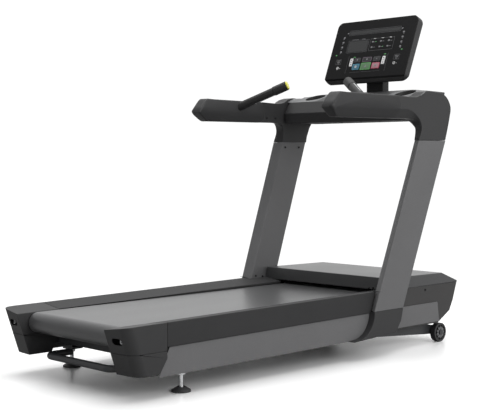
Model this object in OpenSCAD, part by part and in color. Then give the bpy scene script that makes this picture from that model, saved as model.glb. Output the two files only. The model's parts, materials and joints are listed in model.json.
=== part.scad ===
// Motorised treadmill: runs along X, the runner faces +X, left is +Y, Z is up.
// The origin is on the floor, in the middle of the machine's length and width.

/* [Overall] */
// Length from the tips of the rear end caps to the nose of the hood
total_l = 2060; // [2040:5:2080]
// Outer half-width of the foot rail covers
cover_half = 410; // [406:1:412]
// Half of the gap between the two foot rails
gap_half = 288; // [286:1:290]
// Height of the walking surface
belt_top = 262; // [258:1:264]

/* [Running deck] */
// Width of the walking belt
belt_w = 560; // [540:5:564]
// Thickness of the walking belt
belt_t = 2.5; // [2:0.1:3]
// Radius of both belt rollers
roller_r = 38; // [36:0.5:40]
// Distance between the two roller axles
roller_span = 1515; // [1500:5:1520]
// Thickness of the running deck
deck_t = 25; // [19:1:26]

/* [Uprights] */
// Depth of an upright, front to back
post_d = 198; // [180:2:200]
// Width of an upright, side to side
post_w = 44; // [40:1:46]
// Forward lean of the uprights, millimetres forward for each millimetre up
lean = 0.369; // [0.36:0.001:0.38]
// Outward splay of the uprights
splay = 1.97; // [1.8:0.01:2.1]

/* [Handrails] */
// Height of a handrail
rail_h = 104; // [96:1:106]
// Width of a handrail
rail_w = 64; // [58:1:66]
// Height of the underside of the handrails
rail_z = 1054; // [1050:1:1058]
// Inward turn of the handrails towards the rear
rail_toe = 1.3; // [1:0.1:1.5]

/* [Console] */
// Width of the console
console_w = 506; // [490:2:520]
// Height of the console along its face
console_h = 316; // [310:2:322]
// Backward tilt of the console face
console_tilt = 21.5; // [20:0.5:23]
// Height of the middle of the console face
console_z = 1414; // [1410:1:1420]

/* [Lift] */
// Distance from the lift pivot to the wheel axle
arm_run = 499; // [495:1:503]
// Radius of the front wheels
wheel_r = 45; // [44:0.5:46]
// Radius of the lift pivot bolts
pivot_r = 8; // [7:0.5:9]

/* [Hidden] */
$fn = 64;
eps = 0.01;
fit = 0.05;       // radial clearance of a running fit
sep = 0.4;        // gap between a moving part and its neighbour
shell = 3;        // wall of the moulded covers
rear_x = -total_l / 2;
nose_x = total_l / 2;

// Foot rails and end caps
cap_front = -830;         // where an end cap meets the foot rail cover
cover_end = 352;          // where a foot rail cover meets the upright
cover_z0 = 279;           // top of the cover at its rear end, along the outer edge
cover_fall = 17;          // how far the top falls from the outer edge to the belt
cover_rise = .0085;      // climb of the cover towards the front
seam_z = 174;             // seam between the two halves of an end cap
cap_z = 90;               // underside of the end caps
cap_rake = 0.33;          // how far an end cap draws in towards its foot
panel_z = 80;             // underside of the side panels
band_z = 188;             // seam between foot rail cover and side panel

// Rollers
roller_z = belt_top - belt_t - sep - roller_r;
front_roller_x = 576;
rear_roller_x = front_roller_x - roller_span;
axle_r = 10;
axle_half = 374;
roller_half = 284;
drive_pulley_r = 55;
pulley_y = 292;
pulley_w = 22;

// Frame
rail_tube = [60, 80];     // width and height of the side tubes
tube_y = 319;
tube_z = 124;
tube_front = 896;
tube_rear = -925;
tube_wall = 3;
block_y = 340;
block_w = 32;

// Motor
motor_x = 800;
motor_z = 200;
motor_r = 72;
motor_pulley_r = 30;
motor_y0 = -40;
motor_y1 = 180;

// Lift
pivot_x = 400;
pivot_z = 95;
wheel_x = pivot_x + arm_run;
arm_y = 298;
arm_w = 34;
wheel_y = 338;
wheel_w = 27;
clevis = [560, 100];
ram_base = [720, 270];
ram_l = norm(ram_base - clevis);
ram_angle = atan2(ram_base[0] - clevis[0], ram_base[1] - clevis[1]);
ram_y = -170;

// Rear feet
foot_x = -720;
foot_y = 356;
stud_r = 8;
foot_plate_z = 80;

// Uprights and handrails
post_x = 326;             // rear edge of the upright at boot_top
post_y = 436;             // outer face of the upright at boot_top
boot_top = 205;
post_top = 957;
core_top = 420;           // top of the steel core inside an upright
dash_half = 396.5;
dash_slope = 12.4;
dash_x = 615;             // rear crease of the dash
dash_crown = 1214;        // top of the dash at its middle
dash_crown_r = 2700;
dash_z = 1100;
cup_x = 727;
cup_y = 285;
cup_r = 50;
console_x = 815;
console_t = 45;
key_lift = 1.6;
key_gap = 0.4;
key_t = 5;

// Hood
hood_rear = 475;
hood_half = 383;
hood_z = 281;             // seam between the hood and the front covers

// ---------- shared shapes ----------

function cover_z(x) = cover_z0 + cover_rise * (x - rear_x);
function post_rear(z) = post_x + lean * (z - boot_top);
function arc(c, r, a0, a1, n = 12) = [
  for (i = [0:n]) c + r * [cos(a0 + (a1 - a0) * i / n), sin(a0 + (a1 - a0) * i / n)]
];

// Extrudes an outline drawn in X and Z from y0 to y1
module slab(y0, y1) {
  translate([0, y1, 0]) rotate([90, 0, 0]) linear_extrude(y1 - y0) children();
}

// Keeps a left-hand shape, or mirrors it to the right
module on_side(s) {
  if (s > 0) children();
  else mirror([0, 1, 0]) children();
}

module both_sides() {
  for (s = [1, -1]) on_side(s) children();
}

module rounded(w, h, r) {
  square([w - 2 * r, h], center = true);
  square([w, h - 2 * r], center = true);
  for (i = [-1, 1], j = [-1, 1]) translate([i * (w / 2 - r), j * (h / 2 - r)]) circle(r);
}

// A round bar along Y, from y0 to y1
module bar_y(x, z, y0, y1, r) {
  translate([x, y0, z]) rotate([-90, 0, 0]) cylinder(h = y1 - y0, r = r);
}

// A round bar along X, from x0 to x1
module bar_x(y, z, x0, x1, r) {
  translate([x0, y, z]) rotate([0, 90, 0]) cylinder(h = x1 - x0, r = r);
}

// Console frame: X to the runner's right, Y up the face, Z out of the face
module on_console() {
  translate([console_x, 0, console_z]) rotate([0, console_tilt, 0]) rotate([90, 0, -90]) children();
}

// Frame along the lift ram: +Z from the clevis to the upper pivot
module on_ram() {
  translate([clevis[0], ram_y, clevis[1]]) rotate([0, ram_angle, 0]) children();
}

// ---------- frame ----------

module frame_rails() color("#26282a") both_sides() {
  difference() {
    translate([tube_rear, tube_y, tube_z]) cube([tube_front - tube_rear, rail_tube[0], rail_tube[1]]);
    translate([tube_rear - 1, tube_y + tube_wall, tube_z + tube_wall])
      cube([tube_front - tube_rear + 2, rail_tube[0] - 2 * tube_wall, rail_tube[1] - 2 * tube_wall]);
  }
  // Rear axle block with its adjusting slot
  difference() {
    translate([rear_roller_x - 34, block_y, tube_z + rail_tube[1]]) cube([110, block_w, 32]);
    translate([rear_roller_x - 12, block_y - 1, roller_z - axle_r - fit]) cube([24, block_w + 2, 40]);
    bar_x(foot_y, roller_z, rear_roller_x - 40, rear_roller_x + 80, 5 + fit);
  }
  // Front axle block
  difference() {
    translate([front_roller_x - 25, block_y, tube_z + rail_tube[1]]) cube([50, block_w, 38]);
    bar_y(front_roller_x, roller_z, block_y - 1, block_y + block_w + 1, axle_r + fit);
  }
  // Foot bracket
  difference() {
    translate([foot_x - 30, tube_y, foot_plate_z]) cube([60, rail_tube[0], 8]);
    translate([foot_x, foot_y, foot_plate_z - 1]) cylinder(h = 10, r = stud_r + fit);
  }
  for (i = [-1, 1]) translate([foot_x + i * 27 - 3, tube_y, foot_plate_z + 8])
    cube([6, rail_tube[0], tube_z - foot_plate_z - 8]);
  // Lift pivot bracket
  difference() {
    translate([pivot_x - 24, arm_y + arm_w + 2, pivot_z - 22]) cube([48, 10, tube_z - pivot_z + 22]);
    bar_y(pivot_x, pivot_z, arm_y + arm_w, arm_y + arm_w + 14, pivot_r + fit);
  }
  // Stub and core that carry the upright
  translate([post_x + 50, tube_y + rail_tube[0], tube_z + 6]) cube([110, 46, 60]);
  slab(403, 425) polygon([
    [post_x + 50, tube_z + 40], [post_x + 160, tube_z + 40], [post_rear(core_top) + 150, core_top],
    [post_rear(core_top) + 50, core_top]
  ]);
}

module frame_cross_members() color("#26282a") {
  for (x = [-829, -300, 260])
    difference() {
      translate([x, -tube_y, tube_z]) cube([60, 2 * tube_y, 40]);
      translate([x + tube_wall, -tube_y - 1, tube_z + tube_wall])
        cube([60 - 2 * tube_wall, 2 * tube_y + 2, 34]);
    }
  // Motor tray
  difference() {
    translate([690, -tube_y, tube_z]) cube([175, 2 * tube_y, 5]);
    translate([680, ram_y - 60, tube_z - 1]) cube([20, 120, 7]);
  }
  // Ears that carry the lift motor
  for (i = [-1, 1]) difference() {
    translate([ram_base[0] - 12, ram_y + i * 44 - 4, tube_z + 5]) cube([24, 8, ram_base[1] - tube_z + 9]);
    bar_y(ram_base[0], ram_base[1], ram_y + i * 44 - 5, ram_y + i * 44 + 5, pivot_r + fit);
  }
  // Front cross tube
  translate([870, -tube_y, tube_z]) cube([26, 2 * tube_y, 40]);
}

bar_r = 14;
bar_half = 218;
bar_bend = 42;
bar_x0 = -940;
bar_z = 94;

module rear_lift_bar() color("#232426") {
  bar_y(bar_x0, bar_z, -bar_half + bar_bend, bar_half - bar_bend, bar_r);
  both_sides() {
    translate([bar_x0 + bar_bend, bar_half - bar_bend, bar_z]) rotate([0, 0, 90])
      rotate_extrude(angle = 90) translate([bar_bend, 0]) circle(bar_r);
    bar_x(bar_half, bar_z, bar_x0 + bar_bend, -820, bar_r);
    translate([-828, bar_half, bar_z]) cylinder(h = tube_z - bar_z, r = 9);
  }
}

// ---------- running deck ----------

module running_deck() color("#3c3a38") difference() {
  translate([rear_roller_x + 52, -350, belt_top - belt_t - deck_t - 0.2])
    cube([roller_span - 110, 700, deck_t]);
  both_sides() translate([front_roller_x - 90, 286, 200]) cube([40, 70, 70]);
  both_sides() translate([rear_roller_x + 40, 286, 200]) cube([71, 70, 70]);
}

cushion_z = tube_z + rail_tube[1];
module deck_cushions() color("#1c1c1d") both_sides() for (i = [0:3])
  translate([-800 + i * 370, 338, cushion_z])
    cylinder(h = belt_top - belt_t - deck_t - 0.2 - cushion_z, r = 12);

belt_r = roller_r + sep;
module walking_belt() color("#3f4143") difference() {
  belt_loop(belt_r + belt_t, belt_w / 2);
  belt_loop(belt_r, belt_w);
}

module belt_loop(r, half) {
  bar_y(rear_roller_x, roller_z, -half, half, r);
  bar_y(front_roller_x, roller_z, -half, half, r);
  translate([rear_roller_x, -half, roller_z - r]) cube([roller_span, 2 * half, 2 * r]);
}

module roller_axles() color("#9a9c9e") {
  difference() {
    bar_y(rear_roller_x, roller_z, -axle_half, axle_half, axle_r);
    both_sides() bar_x(foot_y, roller_z, rear_roller_x - 12, rear_roller_x + 12, 5 + fit);
  }
  bar_y(front_roller_x, roller_z, -axle_half, axle_half, axle_r);
}

module belt_adjusting_bolts() color("#8d8f91") both_sides() {
  bar_x(foot_y, roller_z, rear_roller_x - 52, rear_roller_x + 30, 5);
  difference() {
    bar_x(foot_y, roller_z, rear_roller_x - 62, rear_roller_x - 52, 8.5);
    translate([rear_roller_x - 63, foot_y, roller_z]) rotate([0, 90, 0]) cylinder(h = 6, r = 4.6, $fn = 6);
  }
}

module roller(x, pulley) {
  difference() {
    bar_y(x, roller_z, -roller_half, roller_half, roller_r);
    bar_y(x, roller_z, -roller_half - 1, roller_half + 1, roller_r - 4);
  }
  both_sides() difference() {
    bar_y(x, roller_z, roller_half - 34, roller_half - 14, roller_r - 4 + eps);
    bar_y(x, roller_z, roller_half - 35, roller_half - 13, 21 + eps);
  }
  if (pulley) difference() {
    union() {
      bar_y(x, roller_z, roller_half - 14 - eps, pulley_y - 1, 30);
      bar_y(x, roller_z, pulley_y - 1, pulley_y + pulley_w, drive_pulley_r);
    }
    bar_y(x, roller_z, roller_half - 16, pulley_y + pulley_w + 1, 20);
    for (i = [0:5]) translate([x, 0, roller_z]) rotate([0, i * 60, 0])
      bar_y(37, 0, pulley_y - 2, pulley_y + pulley_w + 2, 7);
  }
}

module front_roller() color("#8f9193") roller(front_roller_x, true);
module rear_roller() color("#8f9193") roller(rear_roller_x, false);

module bearings(x) {
  both_sides() difference() {
    bar_y(x, roller_z, roller_half - 31, roller_half - 17, 21);
    bar_y(x, roller_z, roller_half - 32, roller_half - 16, axle_r + fit);
  }
}

module front_roller_bearings() color("#b4b6b8") bearings(front_roller_x);
module rear_roller_bearings() color("#b4b6b8") bearings(rear_roller_x);

// ---------- drive ----------

module drive_motor() color("#2d3033") {
  difference() {
    union() {
      bar_y(motor_x, motor_z, motor_y0, motor_y1, motor_r);
      translate([motor_x - 60, motor_y0 + 20, tube_z + 5]) cube([120, motor_y1 - motor_y0 - 40, 30]);
      for (i = [0:23]) translate([motor_x, motor_y0 + 25, motor_z]) rotate([0, i * 15, 0])
        translate([-1.5, 0, 0]) cube([3, motor_y1 - motor_y0 - 50, motor_r + 7]);
      translate([motor_x - 35, 30, motor_z + motor_r - 4]) cube([70, 90, 34]);
    }
    bar_y(motor_x, motor_z, motor_y0 + 12, motor_y1 - 12, motor_r - 12);
    bar_y(motor_x, motor_z, motor_y0 - 1, motor_y1 + 1, 12 + fit);
    translate([motor_x - 90, motor_y0, tube_z - 20]) cube([180, 300, 25]);
  }
}

module motor_rotor() color("#a7a9ab") {
  bar_y(motor_x, motor_z, motor_y0 - 34, pulley_y + pulley_w + 2, 12);
  bar_y(motor_x, motor_z, motor_y0 + 30, motor_y1 - 30, 46);
  bar_y(motor_x, motor_z, pulley_y, pulley_y + pulley_w, motor_pulley_r);
  // Cooling fan
  bar_y(motor_x, motor_z, motor_y0 - 26, motor_y0 - 8, 20);
  for (i = [0:7]) translate([motor_x, 0, motor_z]) rotate([0, i * 45, 0])
    translate([-1.5, motor_y0 - 24, 15]) cube([3, 14, 42]);
}

vee_span = norm([motor_x - front_roller_x, motor_z - roller_z]);
vee_angle = atan2(motor_z - roller_z, motor_x - front_roller_x);
vee_tangent = asin((drive_pulley_r - motor_pulley_r) / vee_span);

// Outline of the belt round both drive pulleys, grown by g
module vee_loop(g) {
  up = vee_angle + 90 - vee_tangent;
  down = vee_angle - 90 + vee_tangent;
  polygon(concat(
    arc([front_roller_x, roller_z], drive_pulley_r + g, up, down + 360, 22),
    arc([motor_x, motor_z], motor_pulley_r + g, down, up, 18)
  ));
}

module drive_belt() color("#151516") difference() {
  slab(pulley_y + 2, pulley_y + pulley_w - 2) vee_loop(sep + 4);
  slab(pulley_y, pulley_y + pulley_w) vee_loop(sep);
}

module motor_controller() color("#8a8d90") difference() {
  translate([700, -318, tube_z + 5]) cube([130, 90, 110]);
  for (i = [0:9]) translate([709 + i * 12, -319, tube_z + 40]) cube([5, 40, 90]);
}

inlet_y = 200;
switch_y = 242;
plate_x = 984;
module power_inlet() color("#1b1b1c") difference() {
  union() {
    translate([plate_x, 183, 212.8]) cube([4, 74, 28.4]);
    translate([plate_x - 26, inlet_y - 14, 215]) cube([38, 28, 24]);
  }
  translate([plate_x - 16, inlet_y - 10, 218]) cube([30, 20, 18]);
  translate([plate_x - 1, switch_y - 8.4, 214.8]) cube([6, 16.8, 24.4]);
}

// ---------- covers ----------

// Everything under the tops of the covers, lowered by g
module under_slope(g) {
  span = cover_half - gap_half;
  translate([rear_x, 0, cover_z0 - g]) rotate([0, -atan(cover_rise), 0]) rotate([90, 0, 90])
    translate([0, 0, -60]) linear_extrude(1700) polygon([
      [gap_half - 60, -260], [gap_half - 60, -cover_fall * (span + 60) / span],
      [cover_half + 60, cover_fall * 60 / span], [cover_half + 60, -260]
    ]);
}

module side_cover(s) on_side(s) intersection() {
  union() {
    // Outer skirt
    slab(cover_half - shell, cover_half) polygon([
      [cap_front, band_z], [post_x - 2, band_z + 10], [post_x - 2, boot_top + 0.8],
      [post_rear(boot_top) + 8, boot_top + 0.8],
      [post_rear(cover_z(cover_end)) + 7, cover_z(cover_end)], [cap_front, cover_z(cap_front)]
    ]);
    // Tread
    difference() {
      translate([0, 0, 250]) linear_extrude(60) polygon([
        [cap_front, gap_half], [hood_rear - 0.6, gap_half], [hood_rear - 0.6, 384],
        [cover_end + 1, 384], [cover_end + 1, cover_half], [cap_front, cover_half]
      ]);
      under_slope(shell);
    }
    // Inner lip
    slab(gap_half, gap_half + shell) polygon([
      [cap_front, belt_top - 1.2], [hood_rear - 0.6, belt_top - 1.2],
      [hood_rear - 0.6, cover_z(hood_rear)], [cap_front, cover_z(cap_front)]
    ]);
  }
  under_slope(0);
}

module side_cover_left() color("#2b2c2d") side_cover(1);
module side_cover_right() color("#2b2c2d") side_cover(-1);

panel_r = 120;
module side_panels() color("#5b5d60") both_sides() difference() {
  slab(cover_half - 8, cover_half - 4) polygon(concat(
    [[cap_front - 38, panel_z], [cap_front + 16, band_z + 4]],
    [[cover_end - 10, band_z + 12]],
    arc([cover_end - 10 - panel_r, band_z + 22], panel_r, -8, -78, 10),
    [[150, panel_z + 6]]
  ));
  slab(cover_half - 20, cover_half + 20) boot_outline(0.6);
}

// Plan of an end cap, grown by g and moved forward by dx
module cap_plan(g, dx) {
  r = 44;
  polygon(concat(
    [[cap_front - 2 * g, gap_half - g], [rear_x + dx - g, gap_half - g]],
    arc([rear_x + 7 + r + dx, cover_half - r], r + g, 184, 90, 8),
    [[cap_front - 2 * g, cover_half + g]]
  ));
}

cap_top = 261.3;
// An end cap's outer shape between two heights, grown by g
module cap_body(z0, z1, g) {
  r0 = (cap_top - z0) * cap_rake;
  r1 = (cap_top - z1) * cap_rake;
  hull() {
    translate([0, 0, z0]) linear_extrude(0.1) cap_plan(g, r0);
    translate([0, 0, z1 - 0.1]) linear_extrude(0.1) cap_plan(g, r1);
  }
}

// Everything below the drooping top of an end cap
module under_cap_top(g) intersection() {
  slab(0, 500) polygon([
    [rear_x - 40, 60], [rear_x - 40, cover_z0 - 4 - g], [rear_x + 70, cover_z(rear_x + 70) - g],
    [cap_front + 9, cover_z(cap_front + 9) - g], [cap_front + 9, 60]
  ]);
  under_slope(g);
}

module rear_cap_upper(s) on_side(s) difference() {
  intersection() {
    cap_body(seam_z, cover_z0 + 6, 0);
    under_cap_top(0);
  }
  intersection() {
    cap_body(seam_z - 1, cover_z0 + 6, -shell);
    under_cap_top(shell);
  }
  bar_y(rear_roller_x, roller_z, gap_half - 2, gap_half + 8, axle_r + 12);
  // Access to the belt adjusting bolt
  translate([rear_x - 5, foot_y - 13, roller_z]) rotate([0, 90, 0]) hull() {
    for (i = [-1, 1]) translate([0, i * 14, 0]) cylinder(h = 60, r = 12, $fn = 24);
  }
}

module rear_cap_upper_left() color("#2b2c2d") rear_cap_upper(1);
module rear_cap_upper_right() color("#2b2c2d") rear_cap_upper(-1);

module rear_caps_lower() color("#2b2c2d") both_sides() difference() {
  cap_body(cap_z, seam_z - 0.6, 0);
  cap_body(cap_z + shell, seam_z + 1, -shell);
  // Front edge slants back to clear the side panel
  slab(gap_half - 5, cover_half + 5) polygon([
    [cap_front - 41, cap_z - 5], [cap_front + 20, seam_z + 2], [cap_front + 60, seam_z + 2],
    [cap_front + 60, cap_z - 5]
  ]);
}

nose_r = 3068;            // bow of the nose in plan
front_z = 199;            // seam between a front cover and its grey panel

// Bowed front face that passes through [x, z] and leans back by a degrees from the vertical
module bow(x, z, a, g) {
  translate([x, 0, z]) rotate([0, a, 0]) translate([-nose_r, 0, -900])
    cylinder(h = 1800, r = nose_r - g, $fn = 96);
}

module hood_shape(g) intersection() {
  bow(nose_x, hood_z, 0, g);
  slab(-hood_half + g, hood_half - g)
    polygon([[hood_rear + g, hood_z - g], [hood_rear + g, 338 - g], [885, 333 - g], [1006, 288 - g],
    [nose_x + 5, hood_z - g]]);
}

module motor_hood() color("#a6a8aa") difference() {
  hood_shape(0);
  hood_shape(shell);
}

module nose_shape(g) intersection() {
  bow(nose_x - 1, hood_z, 20, g);
  bow(nose_x - 40, 178, 29, g);
  bow(nose_x - 67, 130, 61, g);
  slab(-hood_half + g, hood_half - g) polygon([
    [post_rear(front_z) + post_d - 96, front_z - 40],
    [post_rear(front_z) + post_d - 70, hood_z - 0.6 + g * 2],
    [nose_x + 5, hood_z - 0.6 + g * 2], [nose_x + 5, 98 - g * 2], [post_rear(front_z) + 210, 98 - g * 2]
  ]);
}

module front_covers() color("#2b2c2d") difference() {
  nose_shape(0);
  nose_shape(shell);
  // Open at the back and underneath
  slab(-hood_half + shell, hood_half - shell) polygon([[400, 60], [400, 300], [700, 300], [900, 60]]);
  translate([400, -arm_y - 80, 60]) cube([560, 2 * arm_y + 160, 70]);
  // Window for the power inlet and switch
  translate([nose_x - 70, inlet_y - 18, 212]) cube([80, 76, 30]);
  both_sides() bar_y(756, 262, hood_half - 2 * shell, hood_half + 1, 4);
  // Gap for the upright's stub
  both_sides() translate([post_x + 40, hood_half - 6, tube_z + 3]) cube([130, 10, 66]);
}

module front_panels() color("#5b5d60") both_sides() slab(hood_half + 0.6, hood_half + 4.6) polygon([
  [490, 104], [post_rear(boot_top) + post_d + 5, front_z - 1], [845, front_z - 1], [858, 106]
]);

// ---------- uprights and handrails ----------

lean_angle = atan(lean);

// Section of an upright, square to its length: outer face at y = 0, bevelled rear edge, drawn in by g
module post_section(g) {
  w = post_d * cos(lean_angle);
  polygon([
    [g, -g], [g * 1.2, -7], [13 + g, -post_w + 9], [23, -post_w + g], [w - 8, -post_w + g],
    [w - g, -post_w + 8], [w - g, -g]
  ]);
}

// Splays a left-hand upright outwards about the top of its boot
module splayed() {
  translate([0, post_y, boot_top]) rotate([-splay, 0, 0]) children();
}

// A leaning length of upright between two heights above the boot
module post_length(h0, h1, g) intersection() {
  translate([post_x, 0, 0]) rotate([0, lean_angle, 0]) translate([0, 0, -200])
    linear_extrude(1400) post_section(g);
  translate([0, -100, h0]) cube([1200, 200, h1 - h0]);
}

post_l = post_top - boot_top;

module upright(s) on_side(s) splayed() difference() {
  post_length(1, post_l, 0);
  post_length(-1, post_l + 1, 3);
  // Holes for the cover screws
  for (x = [48, 148], z = [34, 726]) translate([post_rear(boot_top + z) + x, -post_w - 1, z])
    rotate([-90, 0, 0]) cylinder(h = 6, r = 3);
}

module upright_left() color("#5d5f62") upright(1);
module upright_right() color("#5d5f62") upright(-1);

boot_r = 112;
// Side view of a boot, grown by g
module boot_outline(g) {
  polygon(concat(
    [[post_x - g, boot_top], [post_x + post_d, boot_top], [post_x + post_d - 14, 150],
    [post_x + post_d - 50, panel_z + 20 - g]],
    [[190, panel_z + 6 - g]],
    arc([post_x - boot_r - 4, boot_top], boot_r + 4 - g, -74, 0, 10)
  ));
}

module upright_boots() color("#3a3b3d") both_sides() difference() {
  slab(post_y - post_w - 2, post_y + 1) boot_outline(0);
  slab(post_y - post_w - 3, post_y - 3) polygon([
    [post_x + 6, boot_top + 1], [post_x + post_d - 6, boot_top + 1], [post_x + post_d - 20, 110],
    [post_x - 20, 104]
  ]);
}

tip_x = 34;
tip_l = 53;
grip_end = 432;
cap_r = 74;
rail_top = rail_z + rail_h;

// Turns a left-hand handrail inwards towards its rear end
module toed() {
  translate([700, 463, 0]) rotate([0, 0, rail_toe]) translate([-700, 0, 0]) children();
}

module rail_outline(g) {
  polygon(concat(
    [[tip_x + g, rail_z + rail_h * 0.45], [tip_x + tip_l + g, rail_z + g],
    [post_rear(rail_z) - 70, rail_z + g - 2]],
    [[825 - g, rail_z + g - 2]],
    arc([836 - cap_r, 1176 - cap_r], cap_r - g, -9, 88, 12),
    [[690, 1180 - g], [655, 1175 - g], [622, 1158 - g], [575, 1152 - g], [grip_end, rail_top - 3 - g]],
    [[tip_x + tip_l + g, rail_top + 3 - g]]
  ));
}

// End of the rubber grip, a rounded bulge seen from the side
grip_mid = [399, 1101];
module grip_zone(g) {
  translate(grip_mid) circle(72 + g);
  translate([-100, 900]) square([grip_mid[0] + 100, 400]);
}

module handrail(s) on_side(s) difference() {
  union() {
    difference() {
      toed() slab(-rail_w, 0) difference() {
        rail_outline(0);
        grip_zone(0);
      }
      toed() slab(-rail_w + 4, -4) intersection() {
        rail_outline(5);
        translate([grip_mid[0] + 90, 1030]) square([600, 400]);
      }
    }
    splayed() difference() {
      post_length(post_l + 0.5, rail_z + 3 - boot_top, 0);
      post_length(post_l - 1, rail_z - 1 - boot_top, 3);
      translate([0, 0, -boot_top]) slab(-post_w - 5, 5) polygon([
        [post_rear(post_top) + post_d, post_top], [825, rail_z - 2], [826, rail_z + 10],
        [900, rail_z + 10], [900, post_top]
      ]);
    }
    // Fillet between post and rail
    splayed() translate([0, 0, -boot_top]) slab(-post_w + 8, -2) polygon([
      [619, 998], [617, 1024], [606, 1041], [585, 1050], [556, rail_z], [556, rail_z + 2],
      [652, rail_z + 2], [634, 998]
    ]);
  }
  toed() for (x = [488, 548]) translate([x, -rail_w - 1, rail_z + 22]) rotate([-90, 0, 0])
    cylinder(h = 8, r = 3);
}

module handrail_left() color("#333436") handrail(1);
module handrail_right() color("#333436") handrail(-1);

grip_base = [309, 391, rail_top - 27];

module handrail_grips() color("#2e2f30") both_sides() toed() slab(-rail_w, 0) intersection() {
  rail_outline(0);
  grip_zone(-0.3);
}

// The dash rises steeply to its knee, then bulges by dash_sag over the length of its top
knee = [650, 1157];
dash_l = 223;
dash_front = 872;
dash_sag = 9.3;
dash_r = (dash_l * dash_l / 4 + dash_sag * dash_sag) / (2 * dash_sag);
dash_mid = knee + dash_l / 2 * [cos(dash_slope), sin(dash_slope)];
dash_c = dash_mid + (dash_r - dash_sag) * [sin(dash_slope), -cos(dash_slope)];
dash_a = asin(dash_l / 2 / dash_r);

// The dash cut off at a height, drawn in by g and falling away towards the handrails
module dash_shape(g, z0 = dash_z) {
  top = knee[1] + dash_l * sin(dash_slope) - g * 1.1;
  intersection() {
    slab(-dash_half + g, dash_half - g) polygon(concat(
      [[dash_front - g, z0 - g], [dash_x + 0.6 * g, z0 - g]],
      arc(dash_c, dash_r - g, 90 + dash_slope + dash_a - g * 0.2, 90 + dash_slope - dash_a, 12),
      [[dash_front + 10 - g, top], [dash_front + 12 - g, 1180], [dash_front - g, 1148]]
    ));
    bar_x(0, dash_crown - dash_crown_r, dash_x - 50, dash_x + 400, dash_crown_r - g);
  }
}

// Plan of the silver surround of a cup holder, grown by g
module surround(g) {
  translate([cup_x - 2, cup_y + 21, dash_z]) linear_extrude(140) rounded(142 + 2 * g, 184 + 2 * g, 46 + g);
}

module dash_top() color("#3a3b3d") difference() {
  dash_shape(0);
  dash_shape(shell);
  both_sides() surround(0.5);
  translate([neck_x - 5, -55, 1150]) cube([60, 110, 100]);
}

module dash_bottom() color("#242526") difference() {
  slab(-dash_half, dash_half) polygon([
    [dash_x, dash_z - 0.5], [dash_x + 14, rail_z - 2], [dash_front - 20, rail_z - 2],
    [dash_front, dash_z - 0.5]
  ]);
  slab(-dash_half + shell, dash_half - shell) polygon([
    [dash_x + 5, dash_z], [dash_x + 18, rail_z + 2], [dash_front - 24, rail_z + 2], [dash_front - 5, dash_z]
  ]);
}

bar_x1 = 800;
bar_low = rail_z + 3;
module console_crossbar() color("#26282a") difference() {
  translate([bar_x1, -dash_half + 4, bar_low]) cube([46, 2 * dash_half - 8, 26]);
  translate([bar_x1 + 3, -dash_half + 3, bar_low + 3]) cube([40, 2 * dash_half, 20]);
}

module cup_holders() color("#8d8f92") both_sides() {
  difference() {
    intersection() {
      translate([cup_x, cup_y, 1086]) cylinder(h = 130, r = cup_r + 3);
      dash_shape(0.6, 1060);
    }
    translate([cup_x, cup_y, 1089]) cylinder(h = 140, r = cup_r);
  }
  difference() {
    intersection() {
      surround(0);
      dash_shape(0.3);
    }
    dash_shape(3);
    translate([cup_x, cup_y, 1089]) cylinder(h = 200, r = cup_r + 1);
  }
}

grip_tip = [429, 189, 1228];
grip_vec = grip_tip - grip_base;
grip_l = norm(grip_vec);
grip_yaw = atan2(grip_vec[1], grip_vec[0]);
grip_rise = acos(grip_vec[2] / grip_l);
grip_r = 20;
grip_sleeve_r = 22.5;
grip_cap_r = 20.6;
plate_z = 72;
plate_l = 50;

// Frame along a pulse grip: +Z from the handrail to the free end
module on_grip() {
  translate(grip_base) rotate([0, grip_rise, grip_yaw]) children();
}

// Wedge that picks out the front of a grip between two lengths
module grip_front(z0, z1, half) {
  translate([0, 0, z0]) linear_extrude(z1 - z0) polygon([
    [0, 0], for (i = [-2:2]) 60 * [cos(80 + half * i / 2), sin(80 + half * i / 2)]
  ]);
}

module pulse_grips() color("#262728") both_sides() difference() {
  union() {
    on_grip() translate([0, 0, -36]) cylinder(h = grip_l + 30, r = grip_r);
    on_grip() translate([0, 0, -36]) sphere(r = grip_r);
    on_grip() translate([0, 0, 180]) cylinder(h = grip_l - 186, r = grip_sleeve_r);
    on_grip() translate([0, 0, 176]) cylinder(h = 4, r1 = grip_r, r2 = grip_sleeve_r);
  }
  on_grip() difference() {
    grip_front(plate_z, plate_z + 2 * plate_l + 2, 104);
    cylinder(h = 300, r = grip_r - 1.5);
  }
  toed() translate([0, -rail_w - 0.4, 0]) cube([700, 300, rail_top + 3.6]);
}

module pulse_plates() color("#c5c7c9") both_sides() on_grip() for (i = [0, 1]) intersection() {
  difference() {
    cylinder(h = 300, r = grip_r);
    translate([0, 0, -1]) cylinder(h = 302, r = grip_r - 1.3);
  }
  grip_front(plate_z + 0.3 + i * (plate_l + 1), plate_z + plate_l + i * (plate_l + 1.7), 103);
}

module grip_end_caps() color("#e6e22a") both_sides() on_grip() translate([0, 0, grip_l - 6 + 0.1]) {
  cylinder(h = 4, r = grip_cap_r);
  translate([0, 0, 4]) cylinder(h = 2, r1 = grip_cap_r, r2 = grip_cap_r - 2);
}

// ---------- console ----------

// Point behind the console face, by depth and by height up the face
function behind(w, v) = [
  console_x - w * cos(console_tilt) + v * sin(console_tilt),
  console_z + w * sin(console_tilt) + v * cos(console_tilt)
];

// Depth of a pad resting on the back shell
function pad_w(v) = -console_t + 2.4 - v * 6 / (console_h - 60);

neck_x = console_x + 32;
neck_d = 46;
module console_neck() color("#1d1e1f") slab(-52, 52) polygon([
  [console_x + 8, bar_low + 26.3], [console_x + 30, bar_low + 26.3], [console_x + 50, 1150.6],
  [neck_x + neck_d, 1166], [neck_x + neck_d, 1375], behind(pad_w(80) - 14, 76), behind(pad_w(80), 80),
  behind(pad_w(-45), -45), [neck_x, 1320], [neck_x, 1170]
]);

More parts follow.
